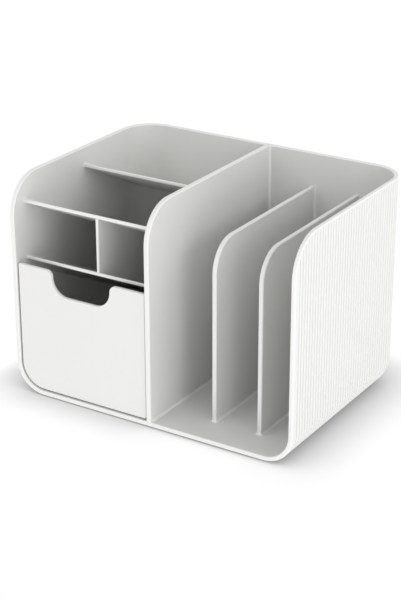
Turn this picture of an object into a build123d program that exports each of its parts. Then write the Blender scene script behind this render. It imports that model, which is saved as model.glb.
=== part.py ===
from build123d import *
from math import radians, tan, cos
import os

os.makedirs("parts", exist_ok=True)

# A desk organizer in moulded plastic: an open-fronted case with rounded bottom
# edges, three upright file pockets on the right, and on the left three shelves
# that slope down towards the back, over one drawer. Millimetres, +Z up, front
# towards -Y, origin on the table under the middle of the case.

# --- case ---
case_width = 250.0
case_depth = 180.0
case_height = 176.5  # from the underside of the base to the rim
wall = 3.5
base_radius = 24.5  # outside rounding between the walls and the base
back_corner_radius = 28.0  # outside rounding of the two upright back corners
front_corner_radius = 31.0  # rounding at the top front of each side wall

# --- feet ---
foot_diameter = 14.0
foot_proud = 1.2  # how far the feet stand below the base
foot_recess = 0.8
foot_recess_gap = 0.2  # round the foot, inside its recess
foot_inset_x = 38.0  # foot centre in from the side walls
foot_inset_front = 18.0
foot_inset_back = 40.0

# --- upright dividers ---
centre_wall = 4.2
divider_wall = 3.8
divider_setback = 27.3  # front edge of the file dividers behind the case front
divider_below_rim = 27.2  # top of the file dividers below the rim of the case
divider_corner_radius = 25.0
middle_pocket_width = 35.9
flare_radius = 1.5  # fillet where a divider meets the floor and the back wall

# --- sloping shelves ---
shelf_angle = 26.5
shelf_thickness = 2.6
shelf_edge_round = 0.9
lower_setback = 13.5  # front edges of the drawer roof and the middle shelf
upper_setback = 91.7
upper_below_rim = 12.6  # top of the upper shelf's front edge below the rim
middle_below_rim = 19.0
cubby_pitch = 46.3  # from the top of the middle shelf to the top of the drawer roof
cubby_wall = 2.5
left_cubby_width = 66.4

# --- drawer ---
drawer_setback = 1.3  # drawer front behind the case front
drawer_gap_above = 0.2  # upright, from the drawer front to the underside of the roof's edge
drawer_front_thickness = 3.0
drawer_wall = 2.0
drawer_floor = 2.2
drawer_rear_space = 0.2  # between the closing stop and the start of the case's rounding
drawer_gap_left = 1.2
drawer_gap_right = 0.8
drawer_gap_below = 1.2
drawer_right_radius = 2.0  # lower corner beside the centre divider
side_drop = 1.0  # drawer side below the top of the drawer front
notch_half_width = 27.0
notch_lip_radius = 5.5
notch_side_height = 0.3  # upright stretch between the lip and the lower rounding
notch_floor_radius = 14.0
drawer_edge_round = 0.5

# --- what the drawer runs on and stops against ---
running_gap = 0.3
runner_width = 8.0
runner_inset_left = 30.0  # from the left wall's inner face to the runner's middle
runner_inset_right = 14.0  # from the centre divider to the runner's middle
runner_setback = 12.0
stop_end_gap = 8.0  # from each end of a stop to the runner beside it
stop_length = 4.0
opening_stop_setback = 18.0
closing_stop_height = 4.0
lip_length = 3.0

# Levels and planes that several pieces share.
base_under = foot_proud
floor_top = base_under + wall
rim_top = base_under + case_height
front = -case_depth / 2
back = case_depth / 2
back_inner = back - wall
left_inner = -case_width / 2 + wall
right_inner = case_width / 2 - wall
centre_left = -centre_wall / 2
centre_right = centre_wall / 2
inner_base_radius = base_radius - wall
inner_corner_radius = back_corner_radius - wall
slope = tan(radians(shelf_angle))
shelf_drop = shelf_thickness / cos(radians(shelf_angle))  # thickness measured upright
upper_top = rim_top - upper_below_rim
middle_top = rim_top - middle_below_rim
roof_top = middle_top - cubby_pitch


def rounded_tub(half_width, back_y, bottom_z, corner, bottom_round, overrun):
    """Solid bounded by the side and back walls and the base, square at the front."""
    front_y = front - overrun
    with BuildPart() as tub:
        with BuildSketch(Plane.XY.offset(bottom_z)):
            with Locations((0, (front_y + back_y) / 2)):
                Rectangle(2 * half_width, back_y - front_y)
        extrude(amount=rim_top + overrun - bottom_z)
        upright = tub.edges().filter_by(Axis.Z).group_by(Axis.Y)[-1]
        fillet(upright, corner)
        underside = tub.faces().sort_by(Axis.Z)[0]
        ring = underside.edges().filter_by(lambda e: (e @ 0.5).Y > front_y + 0.1)
        fillet(ring, bottom_round)
    return tub.part


def side_profile(front_y, top_z, corner, bottom_z, bottom_round=0.0, back_y=back):
    """Upright panel seen from the side, with a rounded top front corner."""
    with BuildSketch(Plane.YZ) as profile:
        with BuildLine():
            Line((front_y, bottom_z), (front_y, top_z - corner))
            RadiusArc((front_y, top_z - corner), (front_y + corner, top_z), corner)
            Line((front_y + corner, top_z), (back_y, top_z))
            if bottom_round > 0:
                Line((back_y, top_z), (back_y, bottom_z + bottom_round))
                RadiusArc((back_y, bottom_z + bottom_round), (back_y - bottom_round, bottom_z), bottom_round)
                Line((back_y - bottom_round, bottom_z), (front_y, bottom_z))
            else:
                Polyline((back_y, top_z), (back_y, bottom_z), (front_y, bottom_z))
        make_face()
    return profile.sketch


# Case: the outer form cut to its side profile, hollowed, with a recess for each foot.
outer_form = rounded_tub(case_width / 2, back, base_under, back_corner_radius, base_radius, 0)
inner_form = rounded_tub(right_inner, back_inner, floor_top, inner_corner_radius, inner_base_radius, 20)
case_profile = side_profile(front, rim_top, front_corner_radius, base_under)
foot_xs = (-case_width / 2 + foot_inset_x, case_width / 2 - foot_inset_x)
foot_ys = (front + foot_inset_front, back - foot_inset_back)

with BuildPart() as case_shell:
    add(outer_form)
    extrude(case_profile, amount=case_width, both=True, mode=Mode.INTERSECT)
    add(inner_form, mode=Mode.SUBTRACT)
    with BuildSketch(Plane.XY.offset(base_under)):
        with Locations(*[(x, y) for x in foot_xs for y in foot_ys]):
            Circle(foot_diameter / 2 + foot_recess_gap)
    extrude(amount=foot_recess, mode=Mode.SUBTRACT)
case_shell.part.label = "case_shell"
export_step(case_shell.part, "parts/case_shell.step")

# Feet: one soft disc in each recess.
foot_names = ("foot_front_left", "foot_back_left", "foot_front_right", "foot_back_right")
foot_places = [(x, y) for x in foot_xs for y in foot_ys]
for name, place in zip(foot_names, foot_places):
    with BuildPart() as foot:
        with BuildSketch(Plane.XY):
            with Locations(place):
                Circle(foot_diameter / 2)
        extrude(amount=foot_proud + foot_recess)
        fillet(foot.edges().filter_by(GeomType.CIRCLE).sort_by(Axis.Z)[0], foot_proud / 3)
    foot.part.label = name
    export_step(foot.part, f"parts/{name}.step")


def upright_divider(middle_x, thickness, front_y, top_z, corner, flare_left, flare_right):
    """Panel standing on the floor against the back wall, flared where it meets them."""
    half = thickness / 2
    profile = side_profile(front_y, top_z, corner, floor_top, inner_base_radius, back_inner)
    left_flare = flare_radius if flare_left else 0.0
    right_flare = flare_radius if flare_right else 0.0
    with BuildPart() as panel:
        with BuildSketch(Plane.XY.offset(floor_top)):
            with Locations((middle_x, (front_y + back_inner) / 2)):
                Rectangle(thickness, back_inner - front_y)
            for side, flare in ((-1, left_flare), (1, right_flare)):
                if flare > 0:
                    face_x = middle_x + side * half
                    with BuildLine():
                        Line((face_x, back_inner), (face_x + side * flare, back_inner))
                        RadiusArc(
                            (face_x + side * flare, back_inner), (face_x, back_inner - flare), -side * flare
                        )
                        Line((face_x, back_inner - flare), (face_x, back_inner))
                    make_face()
        extrude(amount=top_z - floor_top)
        with BuildSketch(Plane.XZ.offset(-front_y)):
            for side, flare in ((-1, left_flare), (1, right_flare)):
                if flare > 0:
                    face_x = middle_x + side * half
                    with BuildLine():
                        Line((face_x, floor_top), (face_x + side * flare, floor_top))
                        RadiusArc(
                            (face_x + side * flare, floor_top), (face_x, floor_top + flare), side * flare
                        )
                        Line((face_x, floor_top + flare), (face_x, floor_top))
                    make_face()
        extrude(amount=-(back_inner - front_y))
        extrude(profile, amount=case_width, both=True, mode=Mode.INTERSECT)
    return panel.part


# Centre divider: full height, in line with the front of the case.
with BuildPart() as centre_divider:
    add(upright_divider(0, centre_wall, front, rim_top, front_corner_radius, False, True))
centre_divider.part.label = "centre_divider"
export_step(centre_divider.part, "parts/centre_divider.step")

# File dividers: two lower panels that share the right half into three pockets.
right_bay_middle = (centre_right + right_inner) / 2
divider_shift = (middle_pocket_width + divider_wall) / 2
divider_front = front + divider_setback
divider_top = rim_top - divider_below_rim
for number, middle_x in enumerate((right_bay_middle - divider_shift, right_bay_middle + divider_shift), 1):
    with BuildPart() as file_divider:
        add(upright_divider(middle_x, divider_wall, divider_front, divider_top, divider_corner_radius, True, True))
    name = f"file_divider_{number}"
    file_divider.part.label = name
    export_step(file_divider.part, f"parts/{name}.step")


def sloping_shelf(setback, top, corner_cut):
    """Plate between the left wall and the centre divider, falling towards the back."""
    front_y = front + setback
    run = back_inner - front_y
    with BuildPart() as plate:
        with BuildSketch(Plane.YZ.offset(left_inner)):
            with BuildLine():
                Polyline(
                    (front_y, top),
                    (back_inner, top - slope * run),
                    (back_inner, top - slope * run - shelf_drop),
                    (front_y, top - shelf_drop),
                    close=True,
                )
            make_face()
        extrude(amount=centre_left - left_inner)
        nose = plate.edges().filter_by(Axis.X).group_by(Axis.Y)[0]
        fillet(nose, shelf_edge_round)
        add(corner_cut, mode=Mode.INTERSECT)
    return plate.part


for name, setback, top in (
    ("drawer_roof", lower_setback, roof_top),
    ("middle_shelf", lower_setback, middle_top),
    ("upper_shelf", upper_setback, upper_top),
):
    with BuildPart() as shelf:
        add(sloping_shelf(setback, top, inner_form))
    shelf.part.label = name
    export_step(shelf.part, f"parts/{name}.step")

# Cubby divider: a thin upright between the drawer roof and the middle shelf.
cubby_front = front + lower_setback
cubby_low = roof_top
cubby_high = middle_top - shelf_drop
cubby_fall = slope * (back_inner - cubby_front)
with BuildPart() as cubby_divider:
    with BuildSketch(Plane.YZ.offset(left_inner + left_cubby_width)):
        with BuildLine():
            Polyline(
                (cubby_front + shelf_edge_round, cubby_low - slope * shelf_edge_round),
                (cubby_front + shelf_edge_round, cubby_high - slope * shelf_edge_round),
                (back_inner, cubby_high - cubby_fall),
                (back_inner, cubby_low - cubby_fall),
                close=True,
            )
        make_face()
    extrude(amount=cubby_wall)
cubby_divider.part.label = "cubby_divider"
export_step(cubby_divider.part, "parts/cubby_divider.step")

# Drawer outline seen from the front; its lower left corner follows the case, and
# its rear keeps clear of the case's rounded back corners.
drawer_left = left_inner + drawer_gap_left
drawer_right = centre_left - drawer_gap_right
drawer_bottom = floor_top + drawer_gap_below
drawer_top = roof_top - shelf_drop - drawer_gap_above
drawer_left_radius = inner_base_radius - drawer_gap_left
drawer_face = front + drawer_setback
drawer_seam = drawer_face + drawer_front_thickness
rear_round = max(inner_corner_radius, inner_base_radius + stop_length + running_gap)
drawer_rear = back_inner - rear_round - drawer_rear_space
drawer_middle = (drawer_left + drawer_right) / 2

# Runners stand on the case floor; the stops lie between them.
runner_xs = (left_inner + runner_inset_left, centre_left - runner_inset_right)
stop_middle = sum(runner_xs) / 2
stop_width = runner_xs[1] - runner_xs[0] - runner_width - 2 * stop_end_gap


def drawer_outline(inset, top_z):
    """Front view of the drawer, drawn in from its outside by an inset."""
    left = drawer_left + inset
    right = drawer_right - inset
    bottom = drawer_bottom + (drawer_floor if inset > 0 else 0)
    big = drawer_left_radius - inset
    small = max(drawer_right_radius - inset, drawer_edge_round)
    with BuildSketch(Plane.XZ) as outline:
        with BuildLine():
            Line((left, top_z), (left, bottom + big))
            RadiusArc((left, bottom + big), (left + big, bottom), -big)
            Line((left + big, bottom), (right - small, bottom))
            RadiusArc((right - small, bottom), (right, bottom + small), -small)
            Polyline((right, bottom + small), (right, top_z), (left, top_z))
        make_face()
    return outline.sketch_local


# Drawer front: a flat plate with a finger notch in its top edge.
notch_floor = drawer_top - notch_lip_radius - notch_side_height - notch_floor_radius
with BuildPart() as drawer_front:
    with BuildSketch(Plane.XZ.offset(-drawer_face)):
        add(drawer_outline(0, drawer_top))
        with BuildLine():
            lip = notch_lip_radius
            low = notch_floor_radius
            half = notch_half_width
            left_lip = (drawer_middle - half - lip, drawer_top)
            left_side = (drawer_middle - half, drawer_top - lip)
            left_turn = (drawer_middle - half, notch_floor + low)
            left_floor = (drawer_middle - half + low, notch_floor)
            right_floor = (drawer_middle + half - low, notch_floor)
            right_turn = (drawer_middle + half, notch_floor + low)
            right_side = (drawer_middle + half, drawer_top - lip)
            right_lip = (drawer_middle + half + lip, drawer_top)
            RadiusArc(left_lip, left_side, lip)
            Line(left_side, left_turn)
            Line(right_turn, right_side)
            RadiusArc(left_turn, left_floor, -low)
            Line(left_floor, right_floor)
            RadiusArc(right_floor, right_turn, -low)
            RadiusArc(right_side, right_lip, lip)
            Line(right_lip, left_lip)
        make_face(mode=Mode.SUBTRACT)
    extrude(amount=-drawer_front_thickness)
drawer_front.part.label = "drawer_front"
export_step(drawer_front.part, "parts/drawer_front.step")

# Drawer tray: sides that fall towards the back under the sloping roof, a floor,
# a low rear wall, and a lip under the rear edge that meets the opening stop.
side_top = drawer_top - side_drop
rear_top = side_top - slope * (drawer_rear - drawer_seam)
with BuildPart() as drawer_tray:
    with BuildSketch(Plane.XZ.offset(-drawer_seam)):
        add(drawer_outline(0, side_top))
    extrude(amount=-(drawer_rear - drawer_seam))
    with BuildSketch(Plane.XZ.offset(-drawer_seam)):
        add(drawer_outline(drawer_wall, side_top + drawer_wall))
    extrude(amount=-(drawer_rear - drawer_wall - drawer_seam), mode=Mode.SUBTRACT)
    with BuildSketch(Plane.YZ):
        with BuildLine():
            Polyline(
                (drawer_seam, side_top),
                (drawer_rear, rear_top),
                (drawer_rear, drawer_bottom),
                (drawer_seam, drawer_bottom),
                close=True,
            )
        make_face()
    extrude(amount=case_width, both=True, mode=Mode.INTERSECT)
    with BuildSketch(Plane.XY.offset(floor_top + running_gap)):
        with Locations((stop_middle, drawer_rear - lip_length / 2)):
            Rectangle(stop_width, lip_length)
    extrude(amount=drawer_gap_below - running_gap)
drawer_tray.part.label = "drawer_tray"
export_step(drawer_tray.part, "parts/drawer_tray.step")

# Runners: two flat strips on the case floor that carry the drawer.
runner_height = drawer_gap_below - running_gap
runner_start = front + runner_setback
runner_end = drawer_rear
for name, middle_x in zip(("runner_left", "runner_right"), runner_xs):
    with BuildPart() as runner:
        with BuildSketch(Plane.XY.offset(floor_top)):
            with Locations((middle_x, (runner_start + runner_end) / 2)):
                SlotOverall(runner_end - runner_start, runner_width, rotation=90)
        extrude(amount=runner_height)
    runner.part.label = name
    export_step(runner.part, f"parts/{name}.step")

# Stops: one bar holds the drawer from coming out, one from going in too far.
stop_places = (
    ("opening_stop", front + opening_stop_setback, runner_height),
    ("closing_stop", drawer_rear + running_gap, closing_stop_height),
)
for name, start_y, height in stop_places:
    with BuildPart() as stop:
        with BuildSketch(Plane.XY.offset(floor_top)):
            with Locations((stop_middle, start_y + stop_length / 2)):
                Rectangle(stop_width, stop_length)
        extrude(amount=height)
    stop.part.label = name
    export_step(stop.part, f"parts/{name}.step")

travel = (drawer_rear - lip_length) - (front + opening_stop_setback + stop_length) - running_gap
print(f"drawer travel {travel:.2f} mm, shelf drop {shelf_drop:.3f}, slope {slope:.4f}")
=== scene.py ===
import math

import bmesh
import bpy
import numpy as np
from mathutils import Matrix, Vector


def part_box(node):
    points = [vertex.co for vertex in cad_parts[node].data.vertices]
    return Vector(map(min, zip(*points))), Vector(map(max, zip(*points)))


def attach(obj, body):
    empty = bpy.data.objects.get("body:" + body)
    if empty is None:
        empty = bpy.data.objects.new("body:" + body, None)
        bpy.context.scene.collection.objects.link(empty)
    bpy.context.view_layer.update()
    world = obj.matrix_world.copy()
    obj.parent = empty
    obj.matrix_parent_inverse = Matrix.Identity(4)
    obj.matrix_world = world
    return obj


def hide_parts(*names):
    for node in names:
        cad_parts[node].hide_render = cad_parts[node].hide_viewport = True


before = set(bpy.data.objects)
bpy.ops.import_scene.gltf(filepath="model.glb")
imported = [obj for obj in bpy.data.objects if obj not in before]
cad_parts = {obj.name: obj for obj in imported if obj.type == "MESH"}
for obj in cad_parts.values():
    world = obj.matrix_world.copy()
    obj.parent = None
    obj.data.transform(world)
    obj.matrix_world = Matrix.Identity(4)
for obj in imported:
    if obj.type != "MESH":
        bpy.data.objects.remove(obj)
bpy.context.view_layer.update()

# A white moulded desk organizer. Lengths are in metres in the frame's own axes: front towards -Y,
# up +Z. Places come from the frame's boxes, so every piece follows the size of the case.
mm = 0.001

meshSettings = {
    "weldDistance": 0.002 * mm,
    "sharpAngle": math.radians(38),
    "normalWeight": 80,
    "edgeSteps": 6,  # rows round a quarter round on an edge
}


def srgb(hexText):
    # sRGB hex to linear RGBA
    part = [int(hexText[i:i + 2], 16) / 255 for i in (1, 3, 5)]
    linear = [c / 12.92 if c <= 0.04045 else ((c + 0.055) / 1.055) ** 2.4 for c in part]
    return (*linear, 1.0)


def addNode(tree, kind, settings=None, links=None):
    # a setting names either a property of the node or one of its inputs
    made = tree.nodes.new(kind)
    for key, value in (settings or {}).items():
        if isinstance(key, str) and hasattr(made, key):
            setattr(made, key, value)
        else:
            made.inputs[key].default_value = value
    for key, source in (links or {}).items():
        tree.links.new(source, made.inputs[key])
    return made


def newMaterial(name):
    material = bpy.data.materials.new(name)
    material.use_nodes = True
    material.node_tree.nodes.clear()
    return material, material.node_tree


def meshObject(name, shape, materials, body, node):
    # shape is (points, quads, caps): an array of points, an array of quads with the number of
    # their material behind the four corners, and a list of flat many-sided faces. The piece rides
    # on its body and stands for the named node.
    points, quads, caps = shape
    mesh = bpy.data.meshes.new(name)
    mesh.from_pydata(points.tolist(), [], quads[:, :4].tolist() + [cap.tolist() for cap in caps])
    numbers = np.concatenate([quads[:, 4], np.zeros(len(caps), int)])
    mesh.polygons.foreach_set("material_index", numbers)
    for material in materials:
        mesh.materials.append(material)
    work = bmesh.new()
    work.from_mesh(mesh)
    bmesh.ops.remove_doubles(work, verts=work.verts, dist=meshSettings["weldDistance"])
    bmesh.ops.recalc_face_normals(work, faces=work.faces)
    work.to_mesh(mesh)
    work.free()
    mesh.polygons.foreach_set("use_smooth", np.ones(len(mesh.polygons), bool))
    mesh.set_sharp_from_angle(angle=meshSettings["sharpAngle"])
    piece = bpy.data.objects.new(name, mesh)
    bpy.context.scene.collection.objects.link(piece)
    even = piece.modifiers.new("evenNormals", "WEIGHTED_NORMAL")
    even.keep_sharp = True
    even.weight = meshSettings["normalWeight"]
    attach(piece, body)
    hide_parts(node)


def gridFaces(rows, columns, start=0, closeColumns=False, slot=0):
    # quads of a grid of points that are held row after row, with their material behind them
    r, c = np.arange(rows - 1), np.arange(columns if closeColumns else columns - 1)
    r, c = np.meshgrid(r, c, indexing="ij")
    nextR, nextC = r + 1, (c + 1) % columns
    corners = [r * columns + c, r * columns + nextC, nextR * columns + nextC, nextR * columns + c]
    quads = np.stack(corners, -1).reshape(-1, 4) + start
    return np.column_stack([quads, np.full(len(quads), slot)])


def joined(*shapes):
    # several shapes as one, each with its faces counted on from the points before it
    points, quads, caps, start = [], [], [], 0
    for shape in shapes:
        points.append(shape[0])
        quads.append(shape[1] + [start, start, start, start, 0])
        caps += [cap + start for cap in shape[2]]
        start += len(shape[0])
    return np.concatenate(points), np.concatenate(quads), caps


def smoothStep(x, low, high):
    # 3 t^2 - 2 t^3, where t runs from 0 at low to 1 at high
    t = np.clip((x - low) / (high - low), 0, 1)
    return t * t * (3 - 2 * t)


def roundedOutline(corners, radii, steps=12):
    # A closed outline through the given corners. Each corner with a radius becomes an arc that
    # touches both sides: it starts radius / tan(half the corner's angle) before the corner.
    corners = np.asarray(corners, float)
    previous, following = np.roll(corners, 1, 0), np.roll(corners, -1, 0)
    found = []
    for before, here, after, radius in zip(previous, corners, following, radii):
        if radius <= 0:
            found.append(here[None])
            continue
        u, v = before - here, after - here
        u, v = u / np.linalg.norm(u), v / np.linalg.norm(v)
        half = math.acos(np.clip(u @ v, -1, 1)) / 2
        centre = here + (u + v) / np.linalg.norm(u + v) * radius / math.sin(half)
        start = here + u * radius / math.tan(half) - centre
        end = here + v * radius / math.tan(half) - centre
        first = math.atan2(start[1], start[0])
        sweep = (math.atan2(end[1], end[0]) - first + math.pi) % (2 * math.pi) - math.pi
        angle = first + np.linspace(0, sweep, steps)
        found.append(centre + radius * np.stack([np.cos(angle), np.sin(angle)], -1))
    return np.concatenate(found)


def outlineNormals(outline):
    # outward normals of a closed outline that runs anticlockwise, lengthened at its corners
    ahead = np.roll(outline, -1, 0) - outline
    ahead /= np.linalg.norm(ahead, axis=1, keepdims=True)
    side = np.stack([ahead[:, 1], -ahead[:, 0]], -1)
    normal = side + np.roll(side, 1, 0)
    normal /= np.linalg.norm(normal, axis=1, keepdims=True)
    return normal / np.maximum(np.sum(normal * side, -1), 0.5)[:, None]  # at most doubled


def roundedPlate(outline, depth, edge, toSpace):
    # A plate with the given outline. Its edge is a quarter round, a flat and a quarter round
    # carried along the outline: at angle t it lies edge (1 - sin t) inside the outline and
    # edge (1 - cos t) from its face. Its two faces are flat.
    normal = outlineNormals(outline)
    bend = np.radians(np.linspace(0, 90, meshSettings["edgeSteps"]))
    drawnIn = edge * (1 - np.sin(bend))
    fromFace = edge * (1 - np.cos(bend))
    inset = np.concatenate([drawnIn, drawnIn[::-1]])
    level = np.concatenate([-depth / 2 + fromFace, depth / 2 - fromFace[::-1]])
    flat = outline[None] - normal[None] * inset[:, None, None]
    points = toSpace(flat[..., 0], flat[..., 1], np.broadcast_to(level[:, None], flat.shape[:2]))
    count = len(outline)
    last = (len(inset) - 1) * count
    caps = [np.arange(count)[::-1], last + np.arange(count)]
    # the edge round takes the second material, on the case's pieces the painted highlight tone
    return points.reshape(-1, 3), gridFaces(len(inset), count, closeColumns=True, slot=1), caps


def sweptSection(path, across, up, section):
    # Carries a closed section along a path: each of its points lies so far across and so far up
    # from the path. Both ends are closed.
    points = path[:, None] + across[:, None] * section[None, :, :1] + up[:, None] * section[None, :, 1:]
    rows, columns = points.shape[:2]
    caps = [np.arange(columns), (rows - 1) * columns + np.arange(columns)[::-1]]
    # the swept section takes the second material, the painted highlight tone on the fillets
    return points.reshape(-1, 3), gridFaces(rows, columns, closeColumns=True, slot=1), caps


def filletSection(radius, sink, steps=8):
    # a hollow quarter round between two faces, with its back sunk a little into both of them
    bend = np.radians(np.linspace(180, 270, steps))
    arc = radius + radius * np.stack([np.cos(bend), np.sin(bend)], -1)
    return np.concatenate([[[-sink, radius]], arc, [[radius, -sink], [-sink, -sink]]])


def mouldedWhiteAbs(name, lightTone, darkTone):
    # ABS, injection moulded in a spark-eroded tool: an even soft white with a satin sheen that
    # breaks up slightly. The grain is about 0.15 mm and is drawn at 0.5 mm, so that it shows.
    material, tree = newMaterial(name)
    place = addNode(tree, "ShaderNodeTexCoord").outputs["Object"]
    grain = addNode(tree, "ShaderNodeTexNoise", {"Scale": 1 / (0.5 * mm), "Detail": 3.0, "Roughness": 0.6},
                    {"Vector": place})
    flow = addNode(tree, "ShaderNodeTexNoise", {"Scale": 1 / (45 * mm), "Detail": 2.0}, {"Vector": place})
    tint = addNode(tree, "ShaderNodeMix", {"data_type": "RGBA", 6: srgb(lightTone), 7: srgb(darkTone)},
                   {0: flow.outputs["Fac"]})
    sheen = addNode(tree, "ShaderNodeMapRange",
                    {"From Min": 0.3, "From Max": 0.7, "To Min": 0.38, "To Max": 0.5},
                    {"Value": flow.outputs["Fac"]})
    bump = addNode(tree, "ShaderNodeBump", {"Strength": 0.15, "Distance": 0.02 * mm},
                   {"Height": grain.outputs["Fac"]})
    shader = addNode(tree, "ShaderNodeBsdfPrincipled", {"IOR": 1.53},
                     {"Base Color": tint.outputs[2], "Roughness": sheen.outputs["Result"],
                      "Normal": bump.outputs["Normal"]})
    addNode(tree, "ShaderNodeOutputMaterial", links={"Surface": shader.outputs["BSDF"]})
    return material


def mouldedDrawerAbs():
    # ABS from a second, finer polished tool, with a hint more gloss. Its white is painted lighter than the
    # case's, as painted light on the drawer's front. Its grain too is drawn coarser than it is, at 0.4 mm.
    material, tree = newMaterial("mouldedDrawerAbs")
    place = addNode(tree, "ShaderNodeTexCoord").outputs["Object"]
    grain = addNode(tree, "ShaderNodeTexNoise", {"Scale": 1 / (0.4 * mm), "Detail": 3.0, "Roughness": 0.55},
                    {"Vector": place})
    flow = addNode(tree, "ShaderNodeTexNoise", {"Scale": 1 / (60 * mm), "Detail": 2.0}, {"Vector": place})
    tint = addNode(tree, "ShaderNodeMix", {"data_type": "RGBA", 6: srgb("#EEEEEC"), 7: srgb("#EBEBE9")},
                   {0: flow.outputs["Fac"]})
    sheen = addNode(tree, "ShaderNodeMapRange",
                    {"From Min": 0.3, "From Max": 0.7, "To Min": 0.34, "To Max": 0.44},
                    {"Value": flow.outputs["Fac"]})
    bump = addNode(tree, "ShaderNodeBump", {"Strength": 0.1, "Distance": 0.02 * mm},
                   {"Height": grain.outputs["Fac"]})
    shader = addNode(tree, "ShaderNodeBsdfPrincipled", {"IOR": 1.53},
                     {"Base Color": tint.outputs[2], "Roughness": sheen.outputs["Result"],
                      "Normal": bump.outputs["Normal"]})
    addNode(tree, "ShaderNodeOutputMaterial", links={"Surface": shader.outputs["BSDF"]})
    return material


def extrudedAcetal():
    # Acetal strip, extruded: waxy off-white, smooth, with faint drawing lines along its length.
    # They are drawn about 0.7 mm wide, coarser than they are, so that they show.
    material, tree = newMaterial("extrudedAcetal")
    place = addNode(tree, "ShaderNodeTexCoord").outputs["Object"]
    along = addNode(tree, "ShaderNodeMapping", {"Scale": (1.0, 0.02, 1.0)}, {"Vector": place})
    lines = addNode(tree, "ShaderNodeTexNoise", {"Scale": 1 / (0.7 * mm), "Detail": 2.0},
                    {"Vector": along.outputs["Vector"]})
    tint = addNode(tree, "ShaderNodeMix", {"data_type": "RGBA", 6: srgb("#E6E6E0"), 7: srgb("#DEDED8")},
                   {0: lines.outputs["Fac"]})
    bump = addNode(tree, "ShaderNodeBump", {"Strength": 0.15, "Distance": 0.02 * mm},
                   {"Height": lines.outputs["Fac"]})
    shader = addNode(tree, "ShaderNodeBsdfPrincipled", {"IOR": 1.48, "Roughness": 0.3},
                     {"Base Color": tint.outputs[2], "Normal": bump.outputs["Normal"]})
    addNode(tree, "ShaderNodeOutputMaterial", links={"Surface": shader.outputs["BSDF"]})
    return material


def mouldedGreyRubber():
    # Thermoplastic rubber, moulded: dull grey, with a fine pebbled skin of about 0.4 mm.
    material, tree = newMaterial("mouldedGreyRubber")
    place = addNode(tree, "ShaderNodeTexCoord").outputs["Object"]
    pebble = addNode(tree, "ShaderNodeTexVoronoi", {"Scale": 1 / (0.4 * mm)}, {"Vector": place})
    tint = addNode(tree, "ShaderNodeMix", {"data_type": "RGBA", 6: srgb("#6A6A6A"), 7: srgb("#5C5C5C")},
                   {0: pebble.outputs["Distance"]})
    bump = addNode(tree, "ShaderNodeBump", {"Strength": 0.3, "Distance": 0.05 * mm},
                   {"Height": pebble.outputs["Distance"]})
    shader = addNode(tree, "ShaderNodeBsdfPrincipled", {"IOR": 1.5, "Roughness": 0.75},
                     {"Base Color": tint.outputs[2], "Normal": bump.outputs["Normal"]})
    addNode(tree, "ShaderNodeOutputMaterial", links={"Surface": shader.outputs["BSDF"]})
    return material


# The case's white and the drawer's are one white in the real thing: the case's tone is greyer, as painted
# shade for its deep pockets, and the drawer's lighter, as painted light on its front.
caseWhite = mouldedWhiteAbs("mouldedWhiteAbs", "#E2E2E0", "#DEDEDC")
edgePaintedHighlight = mouldedWhiteAbs("mouldedWhiteAbsEdgePaintedHighlight", "#F3F3F1", "#F0F0EE")  # painted highlight: a lighter tone for edges and fillets
ribHollowPaintedShade = mouldedWhiteAbs("mouldedWhiteAbsHollowPaintedShade", "#CFCFCD", "#CBCBC9")  # painted shade: a darker tone in the hollows between the ribs
drawerWhitePaintedLight = mouldedDrawerAbs()
slideWhite = extrudedAcetal()
footGrey = mouldedGreyRubber()
print("materials made")

cameraSettings = {
    "eye": (0.62096, -0.99738, 0.57983),
    "aim": (-0.009596, 0.0, 0.070568),
    "roll": -0.14,  # degrees
    "focal": 97.216,  # mm
    "sensor": 36,  # mm, along the picture's longer side
    "clipStart": 0.01,
}


def makeCamera(settings):
    data = bpy.data.cameras.new("camera")
    data.sensor_width = settings["sensor"]
    data.sensor_fit = "AUTO"
    data.lens = settings["focal"]
    data.clip_start = settings["clipStart"]
    camera = bpy.data.objects.new("camera", data)
    bpy.context.scene.collection.objects.link(camera)
    eye, aim = Vector(settings["eye"]), Vector(settings["aim"])
    turn = (aim - eye).to_track_quat("-Z", "Y").to_matrix().to_4x4()
    roll = Matrix.Rotation(math.radians(settings["roll"]), 4, "Z")
    camera.matrix_world = Matrix.Translation(eye) @ turn @ roll
    bpy.context.scene.camera = camera


makeCamera(cameraSettings)
print("camera set")

caseSettings = {
    "wall": 3.5 * mm,
    "baseRadius": 24.5 * mm,
    "backRadius": 28.0 * mm,
    "frontRadius": 31.0 * mm,
    "edgeRound": 0.8 * mm,
    "ribPitch": 4.0 * mm,
    "ribDepth": 0.6 * mm,
    "ribPower": 0.8,  # the lower, the broader the crests and the narrower the hollows
    "ribPlainFront": 2.6 * mm,  # plain band between the front edge and the first rib
    "ribPlainTop": 1.2 * mm,
    "ribRunInFront": 1.2 * mm,
    "ribRunInTop": 1.0 * mm,
    "ribFadeStart": 46.0,  # degrees round the lower rounding where the ribs begin to run out
    "ribFadeEnd": 66.0,
    "paintedShadeFrom": 0.4,  # share of a rib's depth past which its hollow has the painted shade tone
    "columnStep": 0.5 * mm,
    "leastGap": 0.2,  # share of a step that the last straight station keeps from the back corner
    "wallShares": (0, 0.006, 0.014, 0.025, 0.05, 0.2, 0.5, 0.8, 1.0),  # rows down the straight wall
    "roundRows": ((6, 30, 5), (33, 69, 13), (74, 90, 5)),  # first and last degree, and how many rows
    "frontArc": 0.5,  # radians of the top front rounding whose stations go by angle
    "frontStations": 14,
    "baseStations": 60,
}


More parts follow.
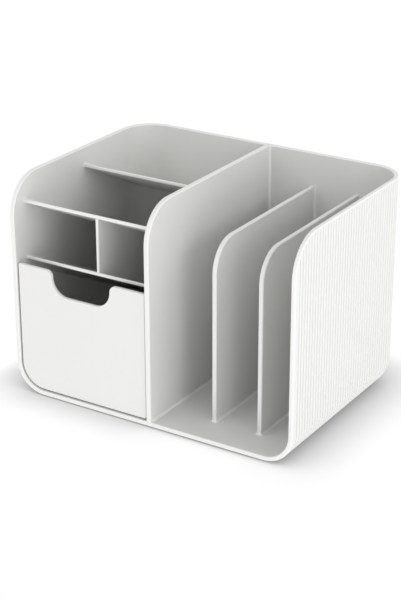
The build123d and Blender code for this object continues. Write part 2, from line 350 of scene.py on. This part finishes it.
def caseShell(settings):
    # The case as one closed skin: an outer and an inner surface on the same grid, joined by a
    # rounded rim. The grid runs along the plan outline (left wall, back, right wall) and down the
    # wall, round the lower rounding to the base. The inner surface is the outer one moved in by
    # the wall along its normal. The outer one sinks between the ribs by
    # ribDepth (1 - |cos(pi run / ribPitch)| ^ ribPower), with run counted from the back's middle.
    s = settings
    low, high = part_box("case_shell")
    wall, edge, step = s["wall"], s["edgeRound"], s["columnStep"]
    baseRadius, backRadius, frontRadius = s["baseRadius"], s["backRadius"], s["frontRadius"]
    frontY, backY, sideX = low.y, high.y, high.x
    # stations along the plan outline of the right half, from the front
    straight = backY - backRadius - (frontY + edge)
    cornerRadius = frontRadius - edge
    nearFront = cornerRadius * (1 - np.cos(np.linspace(0, s["frontArc"], s["frontStations"])))
    evenly = np.arange(nearFront[-1] + step, straight - s["leastGap"] * step, step)
    sideRun = np.concatenate([nearFront, evenly])
    quarter = backRadius * math.pi / 2
    arc = np.linspace(0, math.pi / 2, round(quarter / step))
    backHalf = np.linspace(sideX - backRadius, 0, round((sideX - backRadius) / step))[1:]
    arcX = sideX - backRadius + backRadius * np.cos(arc)
    arcY = backY - backRadius + backRadius * np.sin(arc)
    rightX = np.concatenate([np.full(len(sideRun), sideX), arcX, backHalf])
    rightY = np.concatenate([frontY + edge + sideRun, arcY, np.full(len(backHalf), backY)])
    normalX = np.concatenate([np.ones(len(sideRun)), np.cos(arc), np.zeros(len(backHalf))])
    normalY = np.concatenate([np.zeros(len(sideRun)), np.sin(arc), np.ones(len(backHalf))])
    toArc = straight + edge
    backRun = toArc + quarter + (sideX - backRadius - backHalf)
    run = np.concatenate([sideRun + edge, toArc + backRadius * arc, backRun])
    # the left half mirrors the right one
    planX = np.concatenate([-rightX, rightX[-2::-1]])
    planY = np.concatenate([rightY, rightY[-2::-1]])
    normX = np.concatenate([-normalX, normalX[-2::-1]])
    normY = np.concatenate([normalY, normalY[-2::-1]])
    fromFront = np.concatenate([run, run[-2::-1]])
    # height of the top edge at each station, drawn in by the edge round
    ahead = np.clip(frontY + frontRadius - planY, 0, cornerRadius)
    topZ = high.z - frontRadius + np.sqrt(cornerRadius ** 2 - ahead ** 2)
    # rows down the wall and round to the base
    lowerZ = low.z + baseRadius
    share = np.array(s["wallShares"])
    angle = np.radians(np.concatenate([np.linspace(*rows) for rows in s["roundRows"]]))
    turn = np.concatenate([np.zeros(len(share)), angle])
    inset = baseRadius * (1 - np.cos(turn))
    wallZ = topZ[None, :] + (lowerZ - topZ[None, :]) * share[:, None]
    roundZ = np.broadcast_to((lowerZ - baseRadius * np.sin(angle))[:, None], (len(angle), len(planX)))
    gridZ = np.concatenate([wallZ, roundZ])
    gridX = planX[None, :] - normX[None, :] * inset[:, None]
    gridY = planY[None, :] - normY[None, :] * inset[:, None]
    outwardX = normX[None, :] * np.cos(turn)[:, None]
    outwardY = normY[None, :] * np.cos(turn)[:, None]
    outwardZ = np.broadcast_to(-np.sin(turn)[:, None], gridX.shape)
    normal = np.stack([outwardX, outwardY, outwardZ], -1)
    outer = np.stack([gridX, gridY, gridZ], -1)
    inner = outer - wall * normal
    # ribs, run out at the front edge, at the rim and under the lower rounding
    phase = (fromFront - fromFront.max()) / s["ribPitch"]
    hollow = 1 - np.abs(np.cos(math.pi * phase)) ** s["ribPower"]
    plainFront, plainTop = s["ribPlainFront"], s["ribPlainTop"]
    fade = smoothStep(fromFront, plainFront, plainFront + s["ribRunInFront"])[None, :]
    fade = fade * (1 - smoothStep(np.degrees(turn), s["ribFadeStart"], s["ribFadeEnd"]))[:, None]
    fade = fade * smoothStep(topZ[None, :] - gridZ, plainTop - edge, plainTop + s["ribRunInTop"])
    depth = hollow[None, :] * fade
    outer = outer - normal * (s["ribDepth"] * depth)[..., None]
    rows, columns = gridX.shape
    outerQuads = gridFaces(rows, columns)
    # quads deep in a rib's hollow take the painted shade tone
    middle = (depth[:-1, :-1] + depth[:-1, 1:] + depth[1:, :-1] + depth[1:, 1:]) / 4
    outerQuads[:, 4] = np.where(middle.reshape(-1) > s["paintedShadeFrom"], 2, 0)
    # the rim is one closed loop: top edge, down the right front, along the base, up the left front
    baseRun = np.linspace(gridX[-1, -1], gridX[-1, 0], s["baseStations"])[1:-1]
    baseCount = len(baseRun)
    baseY, baseZ = np.full(baseCount, frontY + edge), np.full(baseCount, low.z)
    alongBase = np.stack([baseRun, baseY, baseZ], -1)
    downwards = np.tile([0, 0, -1.0], (baseCount, 1))
    loopOuter = np.concatenate([outer[0], outer[1:, -1], alongBase, outer[:0:-1, 0]])
    loopNormal = np.concatenate([normal[0], normal[1:, -1], downwards, normal[:0:-1, 0]])
    loopInner = np.concatenate([inner[0], inner[1:, -1], alongBase + [0, 0, wall], inner[:0:-1, 0]])
    lean = ahead / cornerRadius
    topDirection = np.stack([np.zeros(columns), -lean, np.sqrt(1 - lean ** 2)], -1)
    direction = np.concatenate([topDirection, np.tile([0, -1.0, 0], (len(loopOuter) - columns, 1))])
    bend = np.radians(np.linspace(0, 90, meshSettings["edgeSteps"]))[:, None, None]
    drawnIn = loopNormal * edge * (1 - np.cos(bend))
    pushedOut = direction * edge * np.sin(bend)
    rim = np.concatenate([loopOuter - drawnIn + pushedOut, (loopInner + drawnIn + pushedOut)[::-1]])
    points = np.concatenate([outer.reshape(-1, 3), inner.reshape(-1, 3), rim.reshape(-1, 3)])
    count = rows * columns
    quads = np.concatenate([outerQuads, gridFaces(rows, columns, count),
                            gridFaces(len(rim), rim.shape[1], 2 * count, True, slot=1)])
    # the flat of the base, under and over: its last row closed by the points of the front edge
    lastRow = (rows - 1) * columns + np.arange(columns)
    frontEdge = 2 * count + columns + rows - 1 + np.arange(baseCount)
    caps = [np.concatenate([lastRow, frontEdge]),
            np.concatenate([count + lastRow, frontEdge + (len(rim) - 1) * rim.shape[1]])]
    # the plain tone, the painted highlight on the rim, the painted shade in the rib hollows
    tones = (caseWhite, edgePaintedHighlight, ribHollowPaintedShade)
    meshObject("caseShell", (points, quads, caps), tones, "case", "case_shell")


caseShell(caseSettings)
print("case shell made")

dividerSettings = {
    "centreThickness": 4.2 * mm,
    "centreCorner": 31.0 * mm,  # rounding of the top front corner
    "fileThickness": 3.8 * mm,
    "fileCorner": 25.0 * mm,
    "edgeRound": 0.9 * mm,
    "fillet": 1.5 * mm,
    "filletSink": 0.6 * mm,
    "filletBelowTop": (0.9 * mm, 0.5 * mm),  # of the centre divider, of a file divider
    "insideRadius": 21.0 * mm,  # inside rounding of the case between its base and its back
    "sink": 1.2 * mm,  # how far a panel reaches into the case's wall
    "behindFront": 0.03 * mm,  # keeps the panel's edge off the face of the base
    "cornerSteps": 26,
    "footSteps": 14,
    "frontSteps": 6,
}


def uprightDivider(name, node, thickness, cornerRadius, bothSides, settings):
    # A panel seen from the side: upright front edge, rounded top front corner, flat top, and a
    # lower back corner that follows the case. A hollow quarter round runs along its foot and up
    # the back wall, on the right or all round.
    s = settings
    low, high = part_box(node)
    edge, radius, sink = s["edgeRound"], s["insideRadius"], s["sink"]
    middle = (low.x + high.x) / 2 if bothSides else low.x + thickness / 2
    front, back, bottom, top = low.y + s["behindFront"], high.y, low.z, high.z
    corners = [(front, bottom - sink), (back + sink, bottom - sink), (back + sink, top), (front, top)]
    outline = roundedOutline(corners, (0, radius + sink, 0, cornerRadius), s["cornerSteps"])
    panel = roundedPlate(outline, thickness, edge, lambda a, b, c: np.stack([middle + c, a, b], -1))
    # one side's path, from the top of the back wall down, round and forward to the front
    turn = np.radians(np.linspace(90, 0, s["footSteps"]))
    start = top - s["filletBelowTop"][bothSides]
    sideY = np.concatenate([[back], back - radius + radius * np.sin(turn), [front + edge]])
    sideZ = np.concatenate([[start], bottom + radius - radius * np.cos(turn), [bottom]])
    upY = np.concatenate([[-1.0], -np.sin(turn), [0.0]])
    upZ = np.concatenate([[0.0], np.cos(turn), [1.0]])
    count = len(sideY)

    def sidePath(side):
        path = np.stack([np.full(count, middle + side * thickness / 2), sideY, sideZ], -1)
        across = np.tile([side, 0.0, 0.0], (count, 1))
        return path, across, np.stack([np.zeros(count), upY, upZ], -1)

    path, across, up = sidePath(1.0)
    if bothSides:
        # round the front edge: two quarter turns about the centres of the panel's edge rounds
        steps = s["frontSteps"]
        swing = np.radians(np.linspace(0, -90, steps + 1))[1:]
        rightX = middle + thickness / 2 - edge
        around = np.stack([np.cos(swing), np.sin(swing), np.zeros(steps)], -1)
        rightTurn = np.array([rightX, front + edge, bottom]) + edge * around
        mirror = np.array([-1.0, 1.0, 1.0])
        leftTurn = (rightTurn - [middle, 0, 0])[::-1] * mirror + [middle, 0, 0]
        leftPath, leftAcross, leftUp = sidePath(-1.0)
        path = np.concatenate([path, rightTurn, leftTurn, leftPath[::-1]])
        across = np.concatenate([across, around, around[::-1] * mirror, leftAcross[::-1]])
        up = np.concatenate([up, np.tile([0.0, 0.0, 1.0], (2 * steps, 1)), leftUp[::-1]])
    foot = sweptSection(path, across, up, filletSection(s["fillet"], s["filletSink"]))
    # the second tone is the painted highlight on edges and fillets
    meshObject(name, joined(panel, foot), (caseWhite, edgePaintedHighlight), "case", node)


def allDividers(settings):
    thin, small = settings["fileThickness"], settings["fileCorner"]
    thick, large = settings["centreThickness"], settings["centreCorner"]
    uprightDivider("centreDivider", "centre_divider", thick, large, False, settings)
    uprightDivider("fileDividerInner", "file_divider_1", thin, small, True, settings)
    uprightDivider("fileDividerOuter", "file_divider_2", thin, small, True, settings)


allDividers(dividerSettings)
print("dividers made")

shelfSettings = {
    "slope": math.radians(26.5),
    "thickness": 2.6 * mm,
    "noseRound": 0.9 * mm,
    "noseSteps": 8,
    "sink": 1.0 * mm,  # how far a shelf reaches into the walls beside it
    "cornerRadius": 24.5 * mm,  # inside rounding of the case's upright back corner
    "cornerSteps": 18,
    "fillet": 1.2 * mm,
    "filletSink": 0.5 * mm,
    "cubbyWall": 2.5 * mm,
    "cubbyEdge": 0.9 * mm,
}


def slopingShelf(name, node, settings):
    # A plate that falls towards the back: z = top - tan(slope) * (y - front). Its section, with a
    # rounded nose, is carried from the left wall to the centre divider, and its back end follows
    # the case's upright back corner, y = circle(x). A small hollow quarter round lies in the
    # corner between its top and the walls.
    s = settings
    low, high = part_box(node)
    fall, drop = math.tan(s["slope"]), s["thickness"] / math.cos(s["slope"])
    sink, radius, nose = s["sink"], s["cornerRadius"], s["noseRound"]
    front, back, top, left, right = low.y, high.y, high.z, low.x, high.x
    reach = back - front
    corners = [(0, 0), (0, -drop), (reach, -drop - fall * reach), (reach, -fall * reach)]
    section = roundedOutline(corners, (nose, nose, 0, 0), s["noseSteps"])
    turn = np.radians(np.linspace(180, 90, s["cornerSteps"]))
    stationX = np.concatenate([left + radius + (radius + sink) * np.cos(turn), [right + sink]])
    endY = np.concatenate([back - radius + (radius + sink) * np.sin(turn), [back + sink]])
    y = np.tile(front + section[:, 0], (len(stationX), 1))
    z = np.tile(top + section[:, 1], (len(stationX), 1))
    z[:, -2:] -= fall * (endY[:, None] - y[:, -2:])  # the last two points are the back end
    y[:, -2:] = endY[:, None]
    points = np.stack([np.broadcast_to(stationX[:, None], y.shape), y, z], -1)
    rows, columns = y.shape
    caps = [np.arange(columns), (rows - 1) * columns + np.arange(columns)[::-1]]
    quads = gridFaces(rows, columns, closeColumns=True)
    quads[:, 4] = np.arange(len(quads)) % columns < 2 * s["noseSteps"] - 1  # the nose takes the painted highlight tone
    plate = points.reshape(-1, 3), quads, caps
    # the hollow quarter round: back along the left wall, round the corner, forward at the right
    x = np.concatenate([[left], left + radius + radius * np.cos(turn), [right, right]])
    y = np.concatenate([[front + nose], back - radius + radius * np.sin(turn), [back, front + nose]])
    away = np.stack([-np.cos(turn), -np.sin(turn), np.zeros(len(turn))], -1)
    across = np.concatenate([[[1.0, 0, 0]], away, [[-1.0, -1.0, 0]], [[-1.0, 0, 0]]])
    up = np.tile([0.0, math.sin(s["slope"]), math.cos(s["slope"])], (len(x), 1))
    path = np.stack([x, y, top - fall * (y - front)], -1)
    across[:, 2] = -fall * across[:, 1]
    trim = sweptSection(path, across, up, filletSection(s["fillet"], s["filletSink"]))
    # the second tone is the painted highlight on the nose and fillets
    meshObject(name, joined(plate, trim), (caseWhite, edgePaintedHighlight), "case", node)


def cubbyDivider(settings):
    # A thin upright between two shelves: a leaning four-sided plate with a rounded front edge,
    # whose foot and head fall as the shelves do.
    s = settings
    low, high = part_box("cubby_divider")
    fall, sink, edge = math.tan(s["slope"]), s["sink"], s["cubbyEdge"]
    run = high.y - low.y
    foot, head = low.z + fall * run - sink, high.z + sink
    back = run + sink
    corners = [(0, foot), (back, foot - fall * back), (back, head - fall * back), (0, head)]
    outline = roundedOutline(corners, (0, 0, 0, 0)) + [low.y, 0]
    middle = (low.x + high.x) / 2
    shape = roundedPlate(outline, s["cubbyWall"], edge, lambda a, b, c: np.stack([middle + c, a, b], -1))
    # the second tone is the painted highlight on the edges
    meshObject("cubbyDivider", shape, (caseWhite, edgePaintedHighlight), "case", "cubby_divider")


slopingShelf("drawerRoof", "drawer_roof", shelfSettings)
slopingShelf("middleShelf", "middle_shelf", shelfSettings)
slopingShelf("upperShelf", "upper_shelf", shelfSettings)
cubbyDivider(shelfSettings)
print("shelves made")

drawerSettings = {
    "lowerLeftRadius": 19.8 * mm,
    "lowerRightRadius": 2.0 * mm,
    "upperRadius": 1.0 * mm,
    "notchHalfWidth": 27.0 * mm,
    "notchLip": 5.5 * mm,
    "notchDepth": 19.8 * mm,
    "notchFloorRadius": 14.0 * mm,
    "edgeRound": 0.6 * mm,
    "wall": 2.0 * mm,
    "floor": 2.2 * mm,
    "slope": math.radians(26.5),
    "leastInsideRadius": 0.5 * mm,
    "rearEdge": 0.3 * mm,
    "rearUpperRadius": 1.0 * mm,
    "lipWidth": 51.4 * mm,  # catch under the tray's rear edge
    "lipLength": 3.0 * mm,
    "lipHeight": 0.9 * mm,
    "lipSink": 0.4 * mm,  # how far the catch reaches into the floor of the tray
    "lipCorner": 0.5 * mm,
    "lipEdge": 0.2 * mm,
    "cornerSteps": 20,
    "lipSteps": 5,
    "topSteps": 9,
    "stations": 12,
}


def drawerFront(settings):
    # A flat plate with a finger notch: a straight-floored hollow with large lower roundings and
    # small lips where it meets the top edge.
    s = settings
    low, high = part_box("drawer_front")
    left, right, bottom, top = low.x, high.x, low.z, high.z
    middle, half, notch = (left + right) / 2, s["notchHalfWidth"], high.z - s["notchDepth"]
    corners = [(left, bottom), (right, bottom), (right, top), (middle + half, top), (middle + half, notch),
               (middle - half, notch), (middle - half, top), (left, top)]
    big, lip, small = s["notchFloorRadius"], s["notchLip"], s["upperRadius"]
    radii = (s["lowerLeftRadius"], s["lowerRightRadius"], small, lip, big, big, lip, small)
    outline = roundedOutline(corners, radii, s["cornerSteps"])
    depth, centreY = high.y - low.y, (low.y + high.y) / 2
    shape = roundedPlate(outline, depth, s["edgeRound"], lambda u, w, d: np.stack([u, centreY - d, w], -1))
    # the drawer's white, painted lighter as light on its front
    finishes = (drawerWhitePaintedLight, drawerWhitePaintedLight)
    meshObject("drawerFront", shape, finishes, "drawer", "drawer_front")


def drawerTray(settings):
    # A channel whose section is an outer and an inner outline joined by rounded top edges. The
    # edges fall towards the back, z = top - tan(slope) * (y - seam), and a plate closes the rear.
    s = settings
    low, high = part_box("drawer_tray")
    left, right, wall, top = low.x, high.x, s["wall"], high.z
    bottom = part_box("drawer_front")[0].z
    rear, seam = high.y, low.y
    fall = math.tan(s["slope"])

    def channel(inset, floor):
        corners = [(left + inset, top), (left + inset, bottom + floor), (right - inset, bottom + floor),
                   (right - inset, top)]
        small = max(s["lowerRightRadius"] - inset, s["leastInsideRadius"])
        return roundedOutline(corners, (0, s["lowerLeftRadius"] - inset, small, 0), s["cornerSteps"])

    bend = np.radians(np.linspace(0, 180, s["topSteps"]))[1:-1]
    cap = wall / 2 * np.stack([np.cos(bend), np.sin(bend)], -1)
    outer, inner = channel(0, 0), channel(wall, s["floor"])
    drawn = [0, wall / 2]  # the straight sides stop where the rounded edge begins
    outer[[0, -1]] -= drawn
    inner[[0, -1]] -= drawn
    rightEdge = np.array([right - wall / 2, top - wall / 2]) + cap
    leftEdge = np.array([left + wall / 2, top - wall / 2]) + cap
    section = np.concatenate([outer, rightEdge, inner[::-1], leftEdge])
    isTop = section[:, 1] > top - wall
    stations = np.linspace(seam, rear - wall, s["stations"])
    lowered = fall * (stations - seam)[:, None] * isTop[None, :]
    x = np.tile(section[:, 0], (len(stations), 1))
    z = section[:, 1][None] - lowered
    points = np.stack([x, np.broadcast_to(stations[:, None], x.shape), z], -1)
    rows, columns = x.shape
    caps = [np.arange(columns), (rows - 1) * columns + np.arange(columns)[::-1]]
    sides = points.reshape(-1, 3), gridFaces(rows, columns, closeColumns=True), caps
    rearTop, upper = top - fall * (rear - seam), s["rearUpperRadius"]
    corners = [(left, bottom), (right, bottom), (right, rearTop), (left, rearTop)]
    radii = (s["lowerLeftRadius"], s["lowerRightRadius"], upper, upper)
    outline = roundedOutline(corners, radii, s["cornerSteps"])
    middleY = rear - wall / 2
    rearWall = roundedPlate(outline, wall, s["rearEdge"], lambda u, w, d: np.stack([u, middleY - d, w], -1))
    # the catch, between the runners
    middle = (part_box("opening_stop")[0].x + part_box("opening_stop")[1].x) / 2
    nearX, farX, nearY = middle - s["lipWidth"] / 2, middle + s["lipWidth"] / 2, rear - s["lipLength"]
    corners = [(nearX, nearY), (farX, nearY), (farX, rear), (nearX, rear)]
    outline = roundedOutline(corners, (s["lipCorner"],) * 4, s["lipSteps"])
    height = s["lipHeight"] + s["lipSink"]
    under = bottom - s["lipHeight"] + height / 2
    catch = roundedPlate(outline, height, s["lipEdge"], lambda u, w, d: np.stack([u, w, under + d], -1))
    # the drawer's white, painted lighter as light on its front
    shape, finishes = joined(sides, rearWall, catch), (drawerWhitePaintedLight, drawerWhitePaintedLight)
    meshObject("drawerTray", shape, finishes, "drawer", "drawer_tray")


drawerFront(drawerSettings)
drawerTray(drawerSettings)
print("drawer made")

keptNodes = {
    "opening_stop": caseWhite, "closing_stop": caseWhite,
    "runner_left": slideWhite, "runner_right": slideWhite,
    "foot_front_left": footGrey, "foot_front_right": footGrey,
    "foot_back_left": footGrey, "foot_back_right": footGrey,
}
for nodeName, finish in keptNodes.items():
    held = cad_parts[nodeName].data
    held.materials.clear()
    held.materials.append(finish)
print("kept nodes dressed")

lightSettings = {
    "dome": 0.66,
    "floorHalf": 6.0,
    "floorGlow": 0.28,  # light that the white surroundings send up from the floor
    "shadowReach": 42 * mm,
    "shadowSamples": 32,
    "shadowLean": (0.3, -0.35, 0.89),  # the shadow is weaker in front and at the right
    "lampAim": (0, 0, 0.07),
    "boxes": {
        "rightBox": {"place": (1.7, -0.1, 0.6), "size": (1.2, 1.2), "power": 3.4},
        "rightFrontBox": {"place": (1.6, -0.6, 0.5), "size": (1.2, 1.2), "power": 8.8},
        "highLeftBox": {"place": (-0.9, -1.1, 1.3), "size": (1.2, 1.2), "power": 4.0},
    },
}


def seenDirectly(tree):
    # 1 for what the camera, a reflection or a clear material sees, 0 for light on its way round
    path = addNode(tree, "ShaderNodeLightPath")
    some = addNode(tree, "ShaderNodeMath", {"operation": "MAXIMUM"},
                   {0: path.outputs["Is Camera Ray"], 1: path.outputs["Is Glossy Ray"]})
    return addNode(tree, "ShaderNodeMath", {"operation": "MAXIMUM"},
                   {0: some.outputs["Value"], 1: path.outputs["Is Transmission Ray"]}).outputs["Value"]


def makeFloor(settings):
    # White paper. Seen directly it is white, darkened where the object stands close over it; to
    # light on its way round it is a white surface that also glows a little.
    half, white = settings["floorHalf"], srgb("#FFFFFF")
    mesh = bpy.data.meshes.new("floor")
    corners = [(-half, -half, 0), (half, -half, 0), (half, half, 0), (-half, half, 0)]
    mesh.from_pydata(corners, [], [(0, 1, 2, 3)])
    floor = bpy.data.objects.new("floor", mesh)
    bpy.context.scene.collection.objects.link(floor)
    material, tree = newMaterial("whitePaperFloor")
    lean = addNode(tree, "ShaderNodeCombineXYZ", dict(zip("XYZ", settings["shadowLean"])))
    near = addNode(tree, "ShaderNodeAmbientOcclusion",
                   {"samples": settings["shadowSamples"], "Distance": settings["shadowReach"]},
                   {"Normal": lean.outputs["Vector"]})
    seen = addNode(tree, "ShaderNodeEmission", {"Color": white}, {"Strength": near.outputs["AO"]})
    path = addNode(tree, "ShaderNodeLightPath")
    # 1.5 lies between the first meeting of light with the floor and the second
    first = addNode(tree, "ShaderNodeMath", {"operation": "LESS_THAN", 1: 1.5},
                    {0: path.outputs["Ray Depth"]})
    glow = addNode(tree, "ShaderNodeMath", {"operation": "MULTIPLY", 1: settings["floorGlow"]},
                   {0: first.outputs["Value"]})
    lit = addNode(tree, "ShaderNodeEmission", {"Color": white}, {"Strength": glow.outputs["Value"]})
    paper = addNode(tree, "ShaderNodeBsdfDiffuse", {"Color": white})
    both = addNode(tree, "ShaderNodeAddShader", None,
                   {0: paper.outputs["BSDF"], 1: lit.outputs["Emission"]})
    mix = addNode(tree, "ShaderNodeMixShader", None,
                  {0: seenDirectly(tree), 1: both.outputs["Shader"], 2: seen.outputs["Emission"]})
    addNode(tree, "ShaderNodeOutputMaterial", links={"Surface": mix.outputs["Shader"]})
    mesh.materials.append(material)


def makeWorld(strength):
    # seen directly the backdrop is white, and otherwise it gives the object a plain level of light
    world = bpy.data.worlds.new("studio")
    world.use_nodes = True
    tree = world.node_tree
    tree.nodes.clear()
    white = srgb("#FFFFFF")
    light = addNode(tree, "ShaderNodeBackground", {"Color": white, "Strength": strength})
    backdrop = addNode(tree, "ShaderNodeBackground", {"Color": white, "Strength": 1.0})
    both = addNode(tree, "ShaderNodeMixShader", None,
                   {0: seenDirectly(tree), 1: light.outputs["Background"],
                    2: backdrop.outputs["Background"]})
    addNode(tree, "ShaderNodeOutputWorld", links={"Surface": both.outputs["Shader"]})
    bpy.context.scene.world = world


def softBox(name, aim, place, size, power):
    data = bpy.data.lights.new(name, "AREA")
    data.shape = "RECTANGLE"
    data.size, data.size_y = size
    data.energy = power
    lamp = bpy.data.objects.new(name, data)
    bpy.context.scene.collection.objects.link(lamp)
    turn = (Vector(aim) - Vector(place)).to_track_quat("-Z", "Y").to_matrix().to_4x4()
    lamp.matrix_world = Matrix.Translation(place) @ turn


makeFloor(lightSettings)
makeWorld(lightSettings["dome"])
for boxName, box in lightSettings["boxes"].items():
    softBox(boxName, lightSettings["lampAim"], **box)
bpy.context.scene.view_settings.view_transform = "Standard"
print("floor and light set")
